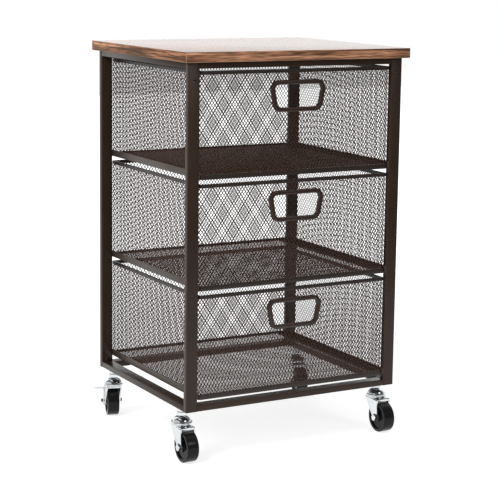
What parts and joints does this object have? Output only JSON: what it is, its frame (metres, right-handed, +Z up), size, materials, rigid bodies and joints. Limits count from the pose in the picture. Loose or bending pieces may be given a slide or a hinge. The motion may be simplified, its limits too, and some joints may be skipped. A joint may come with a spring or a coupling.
{
  "type": "rolling drawer cabinet",
  "caption": "Slim steel-framed cabinet on swivel casters with pull-out wire-mesh drawers under a flat wooden top.",
  "frame": {"origin": "on the floor, under the middle of the cabinet", "axes": "+Z up from the floor, -Y towards the drawers' fronts, +X to the right as seen from the front"},
  "size_m": [0.4246, 0.35, 0.65],
  "materials": {
    "top_wood": "satin",
    "frame_coat": "satin",
    "mesh_coat": "satin",
    "bright_zinc": "gloss",
    "wheel_black": "gloss"
  },
  "bodies": {
    "frame": {"top_board": "top_wood", "post_front_left": "frame_coat", "post_front_right": "frame_coat", "front_rail_top": "frame_coat", "front_rail_bottom": "frame_coat", "post_rear_left": "frame_coat", "post_rear_right": "frame_coat", "rear_rail_top": "frame_coat", "rear_rail_bottom": "frame_coat", "side_rail_top_left": "frame_coat", "side_rail_bottom_left": "frame_coat", "side_rail_top_right": "frame_coat", "side_rail_bottom_right": "frame_coat", "runner_top_left": "frame_coat", "runner_top_right": "frame_coat", "runner_middle_left": "frame_coat", "runner_middle_right": "frame_coat", "runner_bottom_left": "frame_coat", "runner_bottom_right": "frame_coat", "caster_stems": "bright_zinc"},
    "drawer_top": {"drawer_top_rim": "mesh_coat", "drawer_top_band": "mesh_coat", "drawer_top_mesh_front": "mesh_coat", "drawer_top_mesh_back": "mesh_coat", "drawer_top_mesh_left": "mesh_coat", "drawer_top_mesh_right": "mesh_coat", "drawer_top_mesh_floor": "mesh_coat", "drawer_top_handle": "frame_coat"},
    "drawer_middle": {"drawer_middle_rim": "mesh_coat", "drawer_middle_band": "mesh_coat", "drawer_middle_mesh_front": "mesh_coat", "drawer_middle_mesh_back": "mesh_coat", "drawer_middle_mesh_left": "mesh_coat", "drawer_middle_mesh_right": "mesh_coat", "drawer_middle_mesh_floor": "mesh_coat", "drawer_middle_handle": "frame_coat"},
    "drawer_bottom": {"drawer_bottom_rim": "mesh_coat", "drawer_bottom_band": "mesh_coat", "drawer_bottom_mesh_front": "mesh_coat", "drawer_bottom_mesh_back": "mesh_coat", "drawer_bottom_mesh_left": "mesh_coat", "drawer_bottom_mesh_right": "mesh_coat", "drawer_bottom_mesh_floor": "mesh_coat", "drawer_bottom_handle": "frame_coat"},
    "caster_front_left": {"caster_fork_front_left": "bright_zinc"},
    "wheel_front_left": {"caster_wheel_front_left": "wheel_black"},
    "caster_front_right": {"caster_fork_front_right": "bright_zinc"},
    "wheel_front_right": {"caster_wheel_front_right": "wheel_black"},
    "caster_rear_left": {"caster_fork_rear_left": "bright_zinc"},
    "wheel_rear_left": {"caster_wheel_rear_left": "wheel_black"},
    "brake_rear_left": {"brake_lever_rear_left": "bright_zinc"},
    "caster_rear_right": {"caster_fork_rear_right": "bright_zinc"},
    "wheel_rear_right": {"caster_wheel_rear_right": "wheel_black"},
    "brake_rear_right": {"brake_lever_rear_right": "bright_zinc"}
  },
  "joints": [
    {"name": "drawer_top_slide", "type": "slide", "parent": "frame", "child": "drawer_top", "axis": [0, -1, 0], "range_m": [0, 0.25]},
    {"name": "drawer_middle_slide", "type": "slide", "parent": "frame", "child": "drawer_middle", "axis": [0, -1, 0], "range_m": [0, 0.25]},
    {"name": "drawer_bottom_slide", "type": "slide", "parent": "frame", "child": "drawer_bottom", "axis": [0, -1, 0], "range_m": [0, 0.25]},
    {"name": "swivel_front_left", "type": "hinge", "parent": "frame", "child": "caster_front_left", "pos_m": [-0.186, -0.1305, 0.06], "axis": [0, 0, 1], "continuous": true},
    {"name": "wheel_spin_front_left", "type": "hinge", "parent": "caster_front_left", "child": "wheel_front_left", "pos_m": [-0.186, -0.1485, 0.025], "axis": [-1, 0, 0], "continuous": true},
    {"name": "swivel_front_right", "type": "hinge", "parent": "frame", "child": "caster_front_right", "pos_m": [0.186, -0.1305, 0.06], "axis": [0, 0, 1], "continuous": true},
    {"name": "wheel_spin_front_right", "type": "hinge", "parent": "caster_front_right", "child": "wheel_front_right", "pos_m": [0.186, -0.1485, 0.025], "axis": [-1, 0, 0], "continuous": true},
    {"name": "swivel_rear_left", "type": "hinge", "parent": "frame", "child": "caster_rear_left", "pos_m": [-0.186, 0.1305, 0.06], "axis": [0, 0, 1], "continuous": true},
    {"name": "wheel_spin_rear_left", "type": "hinge", "parent": "caster_rear_left", "child": "wheel_rear_left", "pos_m": [-0.18074, 0.14771, 0.025], "axis": [0.9563, -0.2924, 0], "continuous": true},
    {"name": "brake_rear_left", "type": "hinge", "parent": "caster_rear_left", "child": "brake_rear_left", "pos_m": [-0.18074, 0.14771, 0.025], "axis": [-0.9563, 0.2924, 0], "range_deg": [0, 25]},
    {"name": "swivel_rear_right", "type": "hinge", "parent": "frame", "child": "caster_rear_right", "pos_m": [0.186, 0.1305, 0.06], "axis": [0, 0, 1], "continuous": true},
    {"name": "wheel_spin_rear_right", "type": "hinge", "parent": "caster_rear_right", "child": "wheel_rear_right", "pos_m": [0.18074, 0.11329, 0.025], "axis": [-0.9563, 0.2924, 0], "continuous": true},
    {"name": "brake_rear_right", "type": "hinge", "parent": "caster_rear_right", "child": "brake_rear_right", "pos_m": [0.18074, 0.11329, 0.025], "axis": [0.9563, -0.2924, 0], "range_deg": [0, 25]}
  ]
}
